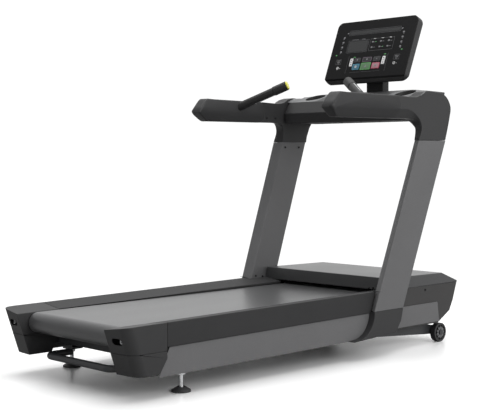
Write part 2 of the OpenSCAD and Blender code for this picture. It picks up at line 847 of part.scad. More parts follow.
// The console reaches console_drop below its printed face, behind a sloping chin
console_drop = 16;
chin = console_h / 2 - 4;

module console_outline(g) {
  translate([0, -console_drop / 2]) rounded(console_w - 2 * g, console_h + console_drop - 2 * g, 30 - g);
}

// Back shell, thinner towards its lower edge, drawn in by g
module console_shell(g) intersection() {
  on_console() translate([0, 0, -80]) linear_extrude(80 - 7 + 2 * g) console_outline(g);
  on_console() rotate([90, 0, 90]) translate([0, 0, -console_w / 2]) linear_extrude(console_w) polygon([
    [-console_h / 2 - console_drop, -30 + g], [-console_h / 2 - console_drop + 30, -console_t + 6 + g],
    [console_h / 2 - 30, -console_t + g], [console_h / 2, -console_t + 10 + g], [console_h / 2, 20],
    [20 - chin, 20 - 1.4 * g], [-20 - chin, -20 - 1.4 * g]
  ]);
}

module console_back() color("#1a1b1c") difference() {
  console_shell(0);
  console_shell(shell);
}

// Keys: centre and size on the console face, the same list for the keys and their openings
key_top = -59;
key_low = -95;
KEYS = [
  ["key_cool", [-64, key_top], [40, 24]], ["key_select", [-3, key_top], [58, 25]],
  ["key_fan", [59, key_top], [44, 24]],
  ["key_mode", [-65, key_low], [44, 31]], ["key_start", [-3, key_low], [62, 38]],
  ["key_stop", [60, key_low], [48, 32]]
];
rocker_x = 102;
rocker_y = -69;
rocker_w = 18;
rocker_h = 42;
rocker_pin = 4;

module console_face() color("#141516") difference() {
  on_console() translate([0, 0, -6.8]) linear_extrude(6.8) console_outline(0);
  on_console() rotate([90, 0, 90]) translate([0, 0, -console_w]) linear_extrude(2 * console_w)
    polygon([[-40 - chin, -40], [20 - chin, 20], [-40 - chin, 20]]);
  on_console() {
    for (k = KEYS) translate([k[1][0], k[1][1], -8])
      linear_extrude(10) rounded(k[2][0] + 2 * key_gap, k[2][1] + 2 * key_gap, 4);
    for (i = [-1, 1]) translate([i * rocker_x, rocker_y, -8])
      linear_extrude(10) rounded(rocker_w + 2 * key_gap, rocker_h + 2 * key_gap, 4);
    translate([0, 94, -1.2]) linear_extrude(3) square([320, 20], center = true);
    translate([-88, 18, -1.2]) linear_extrude(3) square([126, 61], center = true);
  }
}

module console_display() color("#3c3e40") on_console() {
  translate([0, 94, -1.1]) linear_extrude(1) square([319, 19], center = true);
  translate([-88, 18, -1.1]) linear_extrude(1) square([125, 60], center = true);
}

module key(i) {
  k = KEYS[i];
  on_console() {
    translate([k[1][0], k[1][1], -key_t + key_lift]) linear_extrude(key_t) rounded(k[2][0], k[2][1], 3.6);
    translate([k[1][0], k[1][1], -12]) cylinder(h = 12 - key_t + key_lift + eps, r = 5);
  }
}

module key_cool() color("#2f3032") key(0);
module key_select() color("#4a3f4a") key(1);
module key_fan() color("#2f3032") key(2);
module key_mode() color("#3f7f96") key(3);
module key_start() color("#3f9a3c") key(4);
module key_stop() color("#b5405a") key(5);

module rocker(x) {
  on_console() {
    translate([x, rocker_y, -3]) linear_extrude(3 + key_lift) rounded(rocker_w, rocker_h, 3.6);
    translate([x, rocker_y, -rocker_pin]) rotate([0, 90, 0]) translate([0, 0, -8])
      cylinder(h = 16, r = 2.5);
  }
}

module incline_rocker() color("#e9eaeb") rocker(-rocker_x);
module speed_rocker() color("#e9eaeb") rocker(rocker_x);

// ---------- fasteners ----------

module cap_screw(r, h) {
  difference() {
    cylinder(h = h, r = r);
    translate([0, 0, h - 1.2]) cylinder(h = 2, r = r * 0.5, $fn = 6);
  }
}

module cover_screws() color("#121213") both_sides() {
  splayed() for (x = [48, 148], z = [34, 726])
    translate([post_rear(boot_top + z) + x, -post_w - 0.6, z]) rotate([90, 0, 0]) cap_screw(5, 2.4);
  toed() for (x = [488, 548]) translate([x, -rail_w - 0.2, rail_z + 22])
    rotate([90, 0, 0]) cap_screw(4.5, 2.2);
  for (i = [0:3]) translate([dash_x + 60 + 40 * i, 60 + 80 * i, rail_z - 2.2])
    rotate([180, 0, 0]) cap_screw(4.5, 2.2);
  translate([756, hood_half + 0.2, 262]) rotate([-90, 0, 0]) cap_screw(5, 2);
  // Jam nut of a rear foot
  difference() {
    translate([foot_x, foot_y, foot_plate_z - 14.2]) cylinder(h = 14, r = 16, $fn = 6);
    translate([foot_x, foot_y, foot_plate_z - 15]) cylinder(h = 16, r = stud_r + fit);
  }
  // Lift pivot bolt
  bar_y(pivot_x, pivot_z, arm_y - 2, arm_y + arm_w + 12, pivot_r);
  bar_y(pivot_x, pivot_z, arm_y - 12, arm_y - 2, 13);
}

// ---------- moving parts under the hood and at the floor ----------

module power_switch() color("#b3262a") difference() {
  translate([plate_x - 6, switch_y - 8, 216]) cube([16, 16, 22]);
  bar_y(plate_x + 40, 227, switch_y - 9, switch_y + 9, 31.5);
  bar_y(plate_x, 227, switch_y - 9, switch_y + 9, 1.5);
}

module lift_frame() color("#3b3d3f") {
  both_sides() difference() {
    union() {
      slab(arm_y, arm_y + arm_w) polygon([
        [pivot_x - 10, pivot_z - 22], [pivot_x - 10, pivot_z + 20], [wheel_x - 90, 92], [wheel_x + 14, 72],
        [wheel_x + 20, 56], [wheel_x + 14, 34], [wheel_x - 70, 40]
      ]);
      bar_y(pivot_x - 8, pivot_z - 1, arm_y, arm_y + arm_w, 21);
    }
    bar_y(pivot_x, pivot_z, arm_y - 1, arm_y + arm_w + 1, pivot_r + fit);
  }
  both_sides() bar_y(wheel_x, wheel_r, arm_y + arm_w - eps, wheel_y + wheel_w + 3, pivot_r);
  both_sides() bar_y(wheel_x, wheel_r, wheel_y + wheel_w + 3 - eps, wheel_y + wheel_w + 6, 12);
  translate([610, -arm_y - eps, 56]) cube([40, 2 * arm_y + 2 * eps, 34]);
  // Clevis lugs
  for (i = [-1, 1]) difference() {
    slab(ram_y + i * 24 - 5, ram_y + i * 24 + 5) polygon([
      [clevis[0] - 16, clevis[1] + 14], [clevis[0] - 16, clevis[1] - 18], [612, 57], [612, 89],
      [clevis[0] + 14, clevis[1] + 14]
    ]);
  }
  bar_y(clevis[0], clevis[1], ram_y - 24, ram_y + 24, pivot_r);
}

module front_wheel(s) on_side(s) difference() {
  union() {
    bar_y(wheel_x, wheel_r, wheel_y, wheel_y + wheel_w, wheel_r);
  }
  bar_y(wheel_x, wheel_r, wheel_y - 1, wheel_y + wheel_w + 1, pivot_r + fit);
  difference() {
    bar_y(wheel_x, wheel_r, wheel_y + wheel_w - 7, wheel_y + wheel_w + 1, wheel_r - 9);
    bar_y(wheel_x, wheel_r, wheel_y + wheel_w - 8, wheel_y + wheel_w + 2, 15);
    for (i = [0:9]) translate([wheel_x, 0, wheel_r]) rotate([0, i * 36, 0])
      translate([-2, wheel_y + wheel_w - 8, 0]) cube([4, 7, wheel_r - 6]);
  }
}

module front_wheel_left() color("#161617") front_wheel(1);
module front_wheel_right() color("#161617") front_wheel(-1);

ram_r = 13;
ram_tube = 20;
module lift_motor() color("#5a5d60") on_ram() difference() {
  union() {
    translate([0, 0, 70]) cylinder(h = ram_l - 70, r = ram_tube);
    translate([-26, -32, ram_l - 34]) cube([52, 64, 54]);
    translate([20, 0, ram_l - 8]) rotate([0, 90, 0]) cylinder(h = 62, r = 25);
    translate([0, -52, ram_l]) rotate([-90, 0, 0]) cylinder(h = 104, r = pivot_r);
  }
  translate([0, 0, 60]) cylinder(h = ram_l - 80, r = ram_r + fit);
}

module lift_ram() color("#b9bbbd") on_ram() difference() {
  union() {
    translate([0, 0, 10]) cylinder(h = ram_l - 40, r = ram_r);
    translate([-24, -12, -18]) cube([48, 24, 34]);
  }
  // Slotted eye, long enough for the arc that the clevis pin follows
  translate([-6.5, 0, 0]) rotate([90, 0, 0]) cylinder(h = 60, r = pivot_r + 4, center = true);
  translate([6.5, 0, 0]) rotate([90, 0, 0]) cylinder(h = 60, r = pivot_r + 4, center = true);
  cube([13, 60, 2 * (pivot_r + 4)], center = true);
}

module foot(s) on_side(s) translate([foot_x, foot_y, 0]) {
  cylinder(h = 7, r = 38);
  translate([0, 0, 7]) cylinder(h = 13, r1 = 38, r2 = 17);
  translate([0, 0, 19]) cylinder(h = 92, r = stud_r);
}

module foot_left() color("#1a1a1b") foot(1);
module foot_right() color("#1a1a1b") foot(-1);

// ---------- what is drawn ----------

frame_rails();
frame_cross_members();
rear_lift_bar();
running_deck();
deck_cushions();
walking_belt();
roller_axles();
belt_adjusting_bolts();
drive_motor();
motor_controller();
power_inlet();
side_cover_left();
side_cover_right();
side_panels();
rear_cap_upper_left();
rear_cap_upper_right();
rear_caps_lower();
motor_hood();
front_covers();
front_panels();
upright_left();
upright_right();
upright_boots();
handrail_left();
handrail_right();
handrail_grips();
dash_top();
dash_bottom();
console_crossbar();
cup_holders();
pulse_grips();
pulse_plates();
grip_end_caps();
console_neck();
console_back();
console_face();
console_display();
cover_screws();
drive_belt();
power_switch();
front_roller();
front_roller_bearings();
rear_roller();
rear_roller_bearings();
motor_rotor();
lift_frame();
front_wheel_left();
front_wheel_right();
lift_motor();
lift_ram();
foot_left();
foot_right();
key_mode();
key_start();
key_stop();
key_cool();
key_select();
key_fan();
incline_rocker();
speed_rocker();
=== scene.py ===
import json
import math

import bmesh
import bpy
from mathutils import Matrix, Vector
from mathutils.bvhtree import BVHTree


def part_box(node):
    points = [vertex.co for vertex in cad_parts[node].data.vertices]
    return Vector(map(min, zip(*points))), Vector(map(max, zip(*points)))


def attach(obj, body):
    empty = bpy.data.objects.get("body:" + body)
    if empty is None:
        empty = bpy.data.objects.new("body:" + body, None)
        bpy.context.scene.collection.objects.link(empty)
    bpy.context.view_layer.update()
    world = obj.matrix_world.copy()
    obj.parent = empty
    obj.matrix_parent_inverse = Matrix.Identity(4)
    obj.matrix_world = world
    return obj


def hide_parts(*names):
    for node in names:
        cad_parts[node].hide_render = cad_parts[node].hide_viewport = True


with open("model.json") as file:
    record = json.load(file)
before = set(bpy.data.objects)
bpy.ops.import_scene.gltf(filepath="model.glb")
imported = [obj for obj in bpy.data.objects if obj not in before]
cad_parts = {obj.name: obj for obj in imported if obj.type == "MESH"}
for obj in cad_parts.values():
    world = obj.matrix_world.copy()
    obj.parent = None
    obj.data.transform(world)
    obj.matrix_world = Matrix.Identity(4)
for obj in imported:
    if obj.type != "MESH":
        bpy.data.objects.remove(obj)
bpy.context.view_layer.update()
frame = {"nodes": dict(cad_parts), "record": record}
NODES = frame["nodes"]
BODY = {n: b for b, ns in frame["record"]["behaviour"]["bodies"].items() for n in ns}
scene = bpy.context.scene
MM = 0.001
WHITE = 1.05    # strength at which the backdrop comes out plain white

# ---------------------------------------------------------------- camera

LENS, SENSOR = 81.41, 36
CAMERA_PLACE = (-3.483, -3.599, 0.898)
YAW, PITCH, ROLL = 46.02, -2.6, -0.21


def make_camera():
    data = bpy.data.cameras.new("camera")
    data.sensor_width = SENSOR
    data.lens = LENS
    data.clip_end = 200
    cam = bpy.data.objects.new("camera", data)
    scene.collection.objects.link(cam)
    yaw, pitch, roll = math.radians(YAW), math.radians(PITCH), math.radians(ROLL)
    ahead = Vector((math.cos(yaw) * math.cos(pitch), math.sin(yaw) * math.cos(pitch), math.sin(pitch)))
    right = Vector((math.sin(yaw), -math.cos(yaw), 0))
    up = right.cross(ahead)
    across = math.cos(roll) * right + math.sin(roll) * up
    rise = -math.sin(roll) * right + math.cos(roll) * up
    m = Matrix((across, rise, -ahead)).transposed().to_4x4()
    m.translation = Vector(CAMERA_PLACE)
    cam.matrix_world = m
    scene.camera = cam


make_camera()
scene.view_settings.view_transform = "Standard"

# ---------------------------------------------------------------- shader building


def add(tree, kind, sockets=(), **attributes):
    """A new shader node with its attributes, then its socket values, set."""
    made = tree.nodes.new("ShaderNode" + kind)
    for key, value in attributes.items():
        setattr(made, key, value)
    for key, value in dict(sockets).items():
        made.inputs[key].default_value = value
    return made


def grey(level):
    return (level, level, level, 1)


def set_ramp(ramp, stops):
    """Gives a colour ramp its stops, each a place and a colour."""
    first, *middle, last = stops
    for element, (place, colour) in zip(ramp.elements, (first, last)):
        element.position = place
        element.color = colour
    for place, colour in middle:
        ramp.elements.new(place).color = colour


# ---------------------------------------------------------------- light and floor

SKY_LEVELS = ((0.0, 1.0), (0.3, 0.92), (1.0, 1.35))    # brightness by height
SKY_SIDE = (-0.9, 0.5, 0.28, 1.0)      # from and to along X, and the share of light there
FLOOR_HALF = 60
FLOOR_LIT, FLOOR_SEEN = 0.36, 1.10     # tone for bounced light and for the camera
FADE_FROM, FADE_TO = 1.5, 3.4          # metres from the middle


def make_world():
    """A soft sky, dimmer from behind the machine and brighter overhead, seen as plain white."""
    world = bpy.data.worlds.new("studio")
    scene.world = world
    world.use_nodes = True
    nt = world.node_tree
    nt.nodes.clear()
    low, high, dim, full = SKY_SIDE
    out = add(nt, "OutputWorld")
    mix = add(nt, "MixShader")
    seen = add(nt, "Background", {"Color": grey(1), "Strength": WHITE})
    soft = add(nt, "Background")
    path = add(nt, "LightPath")
    where = add(nt, "TexCoord")
    axis = add(nt, "SeparateXYZ")
    ramp = add(nt, "ValToRGB")
    set_ramp(ramp.color_ramp, [(z, grey(level)) for z, level in SKY_LEVELS])
    side = add(nt, "MapRange", {"From Min": low, "From Max": high, "To Min": dim, "To Max": full})
    nt.links.new(where.outputs["Generated"], axis.inputs[0])
    nt.links.new(axis.outputs["Z"], ramp.inputs["Fac"])
    nt.links.new(axis.outputs["X"], side.inputs["Value"])
    nt.links.new(ramp.outputs["Color"], soft.inputs["Color"])
    nt.links.new(side.outputs["Result"], soft.inputs["Strength"])
    nt.links.new(path.outputs["Is Camera Ray"], mix.inputs["Fac"])
    nt.links.new(soft.outputs[0], mix.inputs[1])
    nt.links.new(seen.outputs[0], mix.inputs[2])
    nt.links.new(mix.outputs[0], out.inputs["Surface"])


def area_light(name, place, aim, size, power):
    data = bpy.data.lights.new(name, "AREA")
    data.shape = "RECTANGLE"
    data.size, data.size_y = size
    data.energy = power
    ob = bpy.data.objects.new(name, data)
    scene.collection.objects.link(ob)
    ob.location = place
    ob.rotation_mode = "QUATERNION"
    ob.rotation_quaternion = (Vector(aim) - Vector(place)).to_track_quat("-Z", "Y")


def make_floor():
    """White paper that sweeps up to plain white a few metres out."""
    me = bpy.data.meshes.new("floor")
    s = FLOOR_HALF
    me.from_pydata([(-s, -s, 0), (s, -s, 0), (s, s, 0), (-s, s, 0)], [], [(0, 1, 2, 3)])
    ob = bpy.data.objects.new("floor", me)
    scene.collection.objects.link(ob)
    m = bpy.data.materials.new("floor_paper")
    m.use_nodes = True
    nt = m.node_tree
    paper = nt.nodes["Principled BSDF"]
    paper.inputs["Roughness"].default_value = 0.28
    paper.inputs["Specular IOR Level"].default_value = 0.5
    path = add(nt, "LightPath")
    tone = add(nt, "Mix", {"A": grey(FLOOR_LIT), "B": grey(FLOOR_SEEN)}, data_type="RGBA")
    nt.links.new(path.outputs["Is Camera Ray"], tone.inputs["Factor"])
    nt.links.new(tone.outputs["Result"], paper.inputs["Base Color"])
    where = add(nt, "TexCoord")
    reach = add(nt, "VectorMath", operation="LENGTH")
    nt.links.new(where.outputs["Object"], reach.inputs[0])
    fade = add(nt, "MapRange", {"From Min": FADE_FROM, "From Max": FADE_TO},
               interpolation_type="SMOOTHSTEP")
    nt.links.new(reach.outputs["Value"], fade.inputs["Value"])
    gate = add(nt, "Math", operation="MULTIPLY")
    nt.links.new(fade.outputs["Result"], gate.inputs[0])
    nt.links.new(path.outputs["Is Camera Ray"], gate.inputs[1])
    glow = add(nt, "Emission", {"Strength": WHITE})
    join = add(nt, "MixShader")
    nt.links.new(gate.outputs[0], join.inputs["Fac"])
    nt.links.new(paper.outputs[0], join.inputs[1])
    nt.links.new(glow.outputs[0], join.inputs[2])
    nt.links.new(join.outputs[0], nt.nodes["Material Output"].inputs["Surface"])
    me.materials.append(m)


make_world()
area_light("overhead", (0.2, 0.2, 5.0), (0, 0, 0), (5.0, 4.0), 165)
area_light("back", (-6.0, -2.5, 1.6), (-0.6, 0, 0.2), (2.5, 1.6), 22)
area_light("side", (0.6, -5.5, 2.6), (0, 0, 0.7), (4.0, 2.4), 120)
make_floor()

# ---------------------------------------------------------------- materials

GRAIN_DEPTH = 0.0004    # metres
SPECK = 0.25            # how far the grain darkens the colour


def material(name, base, rough, metal=0.0, vary=0.08, patch=3.0, grain=900.0, bump=0.12,
             smear=0.06, streak=None, cell=None, spec=0.5):
    """A procedural surface. Colour and roughness drift over patches, and a fine grain stands out."""
    m = bpy.data.materials.new(name)
    m.use_nodes = True
    nt = m.node_tree
    b = nt.nodes["Principled BSDF"]
    b.inputs["Metallic"].default_value = metal
    b.inputs["Specular IOR Level"].default_value = spec
    where = add(nt, "TexCoord")
    place = add(nt, "Mapping")
    if streak:
        place.inputs["Scale"].default_value = streak
    nt.links.new(where.outputs["Object"], place.inputs["Vector"])
    cloud = add(nt, "TexNoise", {"Scale": patch, "Detail": 5, "Roughness": 0.6})
    nt.links.new(place.outputs[0], cloud.inputs["Vector"])
    tone = add(nt, "ValToRGB")
    set_ramp(tone.color_ramp, [(0.3, [c * (1 - vary) for c in base] + [1]),
                               (0.7, [min(1, c * (1 + vary)) for c in base] + [1])])
    nt.links.new(cloud.outputs["Fac"], tone.inputs["Fac"])
    fine = add(nt, "TexNoise", {"Scale": grain, "Detail": 2})
    nt.links.new(where.outputs["Object"], fine.inputs["Vector"])
    speck = add(nt, "Mix", data_type="RGBA", blend_type="MULTIPLY")
    speck.inputs["Factor"].default_value = SPECK
    nt.links.new(tone.outputs["Color"], speck.inputs["A"])
    nt.links.new(fine.outputs["Fac"], speck.inputs["B"])
    nt.links.new(speck.outputs["Result"], b.inputs["Base Color"])
    gloss = add(nt, "MapRange", {"To Min": max(0.02, rough - smear), "To Max": min(1.0, rough + smear)})
    nt.links.new(cloud.outputs["Fac"], gloss.inputs["Value"])
    nt.links.new(gloss.outputs["Result"], b.inputs["Roughness"])
    height = fine.outputs["Fac"]
    if cell:
        pit = add(nt, "TexVoronoi", feature="SMOOTH_F1")
        pit.inputs["Scale"].default_value = cell
        nt.links.new(place.outputs[0], pit.inputs["Vector"])
        both = add(nt, "Math", operation="ADD")
        nt.links.new(fine.outputs["Fac"], both.inputs[0])
        nt.links.new(pit.outputs["Distance"], both.inputs[1])
        height = both.outputs[0]
    rise = add(nt, "Bump", {"Strength": bump, "Distance": GRAIN_DEPTH})
    nt.links.new(height, rise.inputs["Height"])
    nt.links.new(rise.outputs["Normal"], b.inputs["Normal"])
    return m


# Colour, roughness and what differs from a plain moulded plastic
MOULDED = dict(grain=700, bump=0.18, cell=900)
PAINTED = dict(vary=0.05, grain=420)
BRUSHED = dict(metal=1, vary=0.05, grain=500, bump=0.05, streak=(6, 0.6, 6))
PRINT = dict(rough=0.4, vary=0.04, bump=0.04)
KEY = dict(rough=0.34, vary=0.05, bump=0.05)
KEY_TOP = dict(rough=0.3, vary=0.05, bump=0.05)
RECIPES = {
    "cover_black": dict(base=(0.040, 0.040, 0.041), rough=0.60, spec=0.15, **MOULDED),
    "cover_front": dict(base=(0.062, 0.061, 0.061), rough=0.55, spec=0.2, **MOULDED),
    "cap_black": dict(base=(0.044, 0.044, 0.045), rough=0.50, spec=0.2, **MOULDED),
    "cover_gloss": dict(base=(0.033, 0.033, 0.034), rough=0.48, grain=700, bump=0.10, spec=0.35),
    "panel_grey": dict(base=(0.140, 0.140, 0.143), rough=0.44, bump=0.10, spec=0.4, **PAINTED),
    "post_grey": dict(base=(0.136, 0.136, 0.139), rough=0.42, bump=0.12, spec=0.4, **PAINTED),
    "hood_grey": dict(base=(0.060, 0.061, 0.063), rough=0.34, vary=0.05, grain=800, bump=0.10,
                      cell=900, spec=0.6),
    "frame_black": dict(base=(0.040, 0.042, 0.045), rough=0.38, grain=500, bump=0.15),
    "belt_grey": dict(base=(0.076, 0.077, 0.079), rough=0.31, vary=0.10, patch=2.2, grain=1200,
                      bump=0.22, cell=620, streak=(0.35, 1.6, 1), spec=0.55),
    "rubber_black": dict(base=(0.022, 0.022, 0.023), rough=0.62, grain=1100, bump=0.3, cell=700),
    "grip_black": dict(base=(0.016, 0.016, 0.017), rough=0.55, grain=1000, bump=0.3, cell=500),
    "grip_tube": dict(base=(0.012, 0.012, 0.012), rough=0.5, grain=1000, bump=0.25, cell=600, spec=0.4),
    "deck_board": dict(base=(0.12, 0.10, 0.08), rough=0.5, vary=0.2, patch=9, streak=(0.4, 3, 3)),
    "steel": dict(base=(0.5, 0.51, 0.52), rough=0.3, **BRUSHED),
    "chrome": dict(base=(0.80, 0.81, 0.82), rough=0.13, metal=1, vary=0.03, grain=300, bump=0.02,
                   smear=0.04),
    "motor_paint": dict(base=(0.06, 0.065, 0.07), rough=0.4),
    "heatsink": dict(base=(0.45, 0.46, 0.47), rough=0.4, metal=1, vary=0.04, streak=(1, 8, 1)),
    "cup_silver": dict(base=(0.13, 0.132, 0.136), rough=0.46, bump=0.08),
    "cup_inside": dict(base=(0.008, 0.008, 0.008), rough=0.6, bump=0.1),
    "cap_yellow": dict(base=(0.80, 0.76, 0.10), rough=0.34, vary=0.04, bump=0.05),
    "console_gloss": dict(base=(0.006, 0.006, 0.0065), rough=0.32, vary=0.15, bump=0.03, spec=0.16),
    "console_shell": dict(base=(0.024, 0.024, 0.025), rough=0.42, bump=0.16, cell=900),
    "display_glass": dict(base=(0.030, 0.031, 0.032), rough=0.25, vary=0.06, bump=0.02),
    "print_grey": dict(base=(0.20, 0.20, 0.21), **PRINT),
    "print_dim": dict(base=(0.075, 0.075, 0.08), **PRINT),
    "print_white": dict(base=(0.72, 0.72, 0.72), rough=0.4, vary=0.03, bump=0.04),
    "print_green": dict(base=(0.08, 0.34, 0.10), rough=0.4, vary=0.05, bump=0.04),
    "screw_black": dict(base=(0.006, 0.006, 0.006), rough=0.45, grain=600, spec=0.25),
    "switch_red": dict(base=(0.5, 0.03, 0.03), rough=0.3, bump=0.05),
    "wheel_black": dict(base=(0.022, 0.022, 0.023), rough=0.5, bump=0.2),
    "wheel_hub": dict(base=(0.15, 0.152, 0.156), rough=0.45, grain=800),
    "wheel_face": dict(base=(0.035, 0.035, 0.036), rough=0.42, grain=800),
    "pad_rubber": dict(base=(0.040, 0.040, 0.041), rough=0.6, grain=1000, bump=0.25, cell=600),
    "key_blue": dict(base=(0.075, 0.27, 0.38), **KEY),
    "key_green": dict(base=(0.10, 0.34, 0.10), **KEY),
    "key_red": dict(base=(0.44, 0.08, 0.13), **KEY),
    "key_dark": dict(base=(0.045, 0.045, 0.05), **KEY),
    "key_mauve": dict(base=(0.11, 0.08, 0.11), **KEY),
    "key_blue_deep": dict(base=(0.045, 0.15, 0.21), **KEY_TOP),
    "key_green_deep": dict(base=(0.10, 0.20, 0.10), **KEY_TOP),
    "key_red_pale": dict(base=(0.40, 0.20, 0.23), **KEY_TOP),
    "key_centre": dict(base=(0.022, 0.022, 0.024), **KEY_TOP),
    "rocker_white": dict(base=(0.78, 0.78, 0.78), rough=0.36, vary=0.03, bump=0.05),
}
MATS = {name: material(name, **recipe) for name, recipe in RECIPES.items()}

# The nodes that take each material
FINISH = {
    "frame_black": ["frame_rails", "frame_cross_members", "rear_lift_bar", "console_crossbar", "lift_frame"],
    "deck_board": ["running_deck"],
    "rubber_black": ["deck_cushions", "drive_belt"],
    "belt_grey": ["walking_belt"],
    "steel": ["roller_axles", "belt_adjusting_bolts", "front_roller", "rear_roller", "front_roller_bearings",
              "rear_roller_bearings", "motor_rotor", "lift_ram"],
    "motor_paint": ["drive_motor", "lift_motor"],
    "heatsink": ["motor_controller"],
    "cover_black": ["power_inlet", "side_cover_left", "side_cover_right", "dash_bottom", "console_neck"],
    "cap_black": ["rear_cap_upper_left", "rear_cap_upper_right", "rear_caps_lower"],
    "cover_front": ["front_covers"],
    "cover_gloss": ["upright_boots", "dash_top", "handrail_left", "handrail_right"],
    "panel_grey": ["side_panels", "front_panels"],
    "hood_grey": ["motor_hood"],
    "post_grey": ["upright_left", "upright_right"],
    "grip_black": ["handrail_grips"],
    "grip_tube": ["pulse_grips"],
    "chrome": ["pulse_plates"],
    "cap_yellow": ["grip_end_caps"],
    "cup_silver": ["cup_holders"],
    "console_shell": ["console_back"],
    "console_gloss": ["console_face"],
    "display_glass": ["console_display"],
    "screw_black": ["cover_screws"],
    "switch_red": ["power_switch"],
    "wheel_black": ["front_wheel_left", "front_wheel_right"],
    "pad_rubber": ["foot_left", "foot_right"],
    "key_blue": ["key_mode"],
    "key_green": ["key_start"],
    "key_red": ["key_stop"],
    "key_dark": ["key_cool", "key_fan"],
    "key_mauve": ["key_select"],
    "rocker_white": ["incline_rocker", "speed_rocker"],
}
LOOK = {node: look for look, nodes in FINISH.items() for node in nodes}

for n, ob in NODES.items():
    ob.data.materials.clear()
    ob.data.materials.append(MATS[LOOK[n]])

# ---------------------------------------------------------------- shaping helpers


def new_piece(name, bm, looks, body, angle):
    """A smooth-shaded piece on a body; edges sharper than the angle stay crisp."""
    me = bpy.data.meshes.new(name)
    bm.to_mesh(me)
    bm.free()
    ob = bpy.data.objects.new(name, me)
    scene.collection.objects.link(ob)
    for look in looks:
        me.materials.append(MATS[look])
    for p in me.polygons:
        p.use_smooth = True
    me.set_sharp_from_angle(angle=math.radians(angle))
    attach(ob, body)
    return ob


def stand_in(node, bm, looks, angle, even=False):
    """A piece that stands for a node. even weighs its shading by face size."""
    ob = new_piece(node + "_shape", bm, looks, BODY[node], angle)
    if even:
        w = ob.modifiers.new("even", "WEIGHTED_NORMAL")
        w.keep_sharp = True
    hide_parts(node)
    return ob


def detail(node, suffix, bm, look):
    """A small piece that goes on a node and moves with it."""
    return new_piece(node + suffix, bm, [look], BODY[node], 30)


def clean_copy(node):
    """The node's shape with its flat faces joined up, ready to have its edges worked."""
    bm = bmesh.new()
    bm.from_mesh(NODES[node].data)
    for layer in list(bm.loops.layers.float_vector.values()):
        bm.loops.layers.float_vector.remove(layer)
    bmesh.ops.remove_doubles(bm, verts=bm.verts, dist=0.00003)
    bmesh.ops.dissolve_limit(bm, angle_limit=math.radians(0.6), verts=bm.verts, edges=bm.edges)
    return bm


def round_edges(bm, width, segments, angle, profile):
    """Rounds every edge that turns by more than the angle, by width in mm."""
    edges = [e for e in bm.edges
             if len(e.link_faces) == 2 and e.calc_face_angle(0) > math.radians(angle)]
    bmesh.ops.bevel(bm, geom=edges, offset=width * MM, offset_type="OFFSET", segments=segments,
                    profile=profile, affect="EDGES", clamp_overlap=False, loop_slide=True, material=-1)


def soften(node, width, split=None):
    """Stands for a node with its edges rounded by width in mm. split is a test of a face and the
    second material that faces passing it take."""
    bm = clean_copy(node)
    round_edges(bm, width, 2, 28, 0.55)
    bmesh.ops.recalc_face_normals(bm, faces=bm.faces)
    looks = [LOOK[node]]
    if split:
        test, second = split
        looks.append(second)
        for f in bm.faces:
            f.material_index = 1 if test(f) else 0
    return stand_in(node, bm, looks, 40, even=True)


def join_rows(bm, a, b):
    """A band of faces between two closed rows of the same number of vertices."""
    n = len(a)
    for i in range(n):
        bm.faces.new((a[i], a[(i + 1) % n], b[(i + 1) % n], b[i]))


def loft(bm, rings):
    """Joins closed rings of points, in order, into a skin closed at both ends."""
    rows = [[bm.verts.new(p) for p in ring] for ring in rings]
    for a, b in zip(rows, rows[1:]):
        join_rows(bm, a, b)
    bm.faces.new(rows[0][::-1])
    bm.faces.new(rows[-1])
    bmesh.ops.recalc_face_normals(bm, faces=bm.faces)


def smooth_line(points, n):
    """n + 1 points along a soft curve through the given ones."""
    pts = [Vector(p) for p in points]
    pts = [2 * pts[0] - pts[1]] + pts + [2 * pts[-1] - pts[-2]]
    out = []
    m = len(pts) - 3
    for k in range(n + 1):
        t = k / n * m
        i = min(int(t), m - 1)
        f = t - i
        a, b, c, d = pts[i:i + 4]
        out.append(0.5 * ((2 * b) + (c - a) * f + (2 * a - 5 * b + 4 * c - d) * f * f
                          + (3 * b - a - 3 * c + d) * f * f * f))
    return out


def steps(a, b, n):
    """n + 1 even steps from a to b."""
    return [a + (b - a) * k / n for k in range(n + 1)]

# ---------------------------------------------------------------- handrails, all sizes in mm

RAIL_X, RAIL_Y, TOE_IN = 700, 463, 1.3          # a place on the rail's outer face, and degrees
POST_Z, POST_Y, SPLAY = 205, 436, 1.97          # the same for an upright
BLEND_TOP, BLEND = 1052, 95                     # heights over which a casting turns into an upright
RAIL_LOW, RAIL_CREASE = 1054, 1095
SLEEVE_X, SLEEVE_Z, SLEEVE_R = 396, 1106, 77    # arc at the front end of a rubber sleeve
SLEEVE_GAP = 0.8
CASTING_TOP, CASTING_FOOT, CASTING_FRONT = 1154.6, 957.6, 800
ELBOW_X, ELBOW_Z, ELBOW_R = 762, 1102, 74
SHOULDER_Z, SHOULDER_LEAN = 1112, 0.10
CASTING_OUT, CASTING_MID, CASTING_IN = 0, -18, -64
LEG_IN, LEG_TOP, LEG_BLEND = -44, 1015, 40      # the casting is thinner where it holds the upright
SLEEVE_TOP, TIP_TOP = 1155, 1160
TIP_X, TIP_Z = 34, 1098                         # the sleeve's rearmost point
TIP_BACK, TIP_FRONT = 87, 104                   # where the tip's slopes meet the top and the underside


def rail_side(x, z):
    """Distance of the rail's outer face from the centre line."""
    rail = RAIL_Y + (x - RAIL_X) * math.tan(math.radians(TOE_IN))
    if z > BLEND_TOP:
        return rail
    post = POST_Y + (z - POST_Z) * math.tan(math.radians(SPLAY))
    t = (BLEND_TOP - z) / BLEND
    return rail * (1 - t) + post * t


def seam_x(z):
    """The rounded end of the rubber sleeve."""
    return SLEEVE_X + math.sqrt(SLEEVE_R * SLEEVE_R - (z - SLEEVE_Z) ** 2)


def flat(points):
    return [(p[0], p[1]) for p in points]


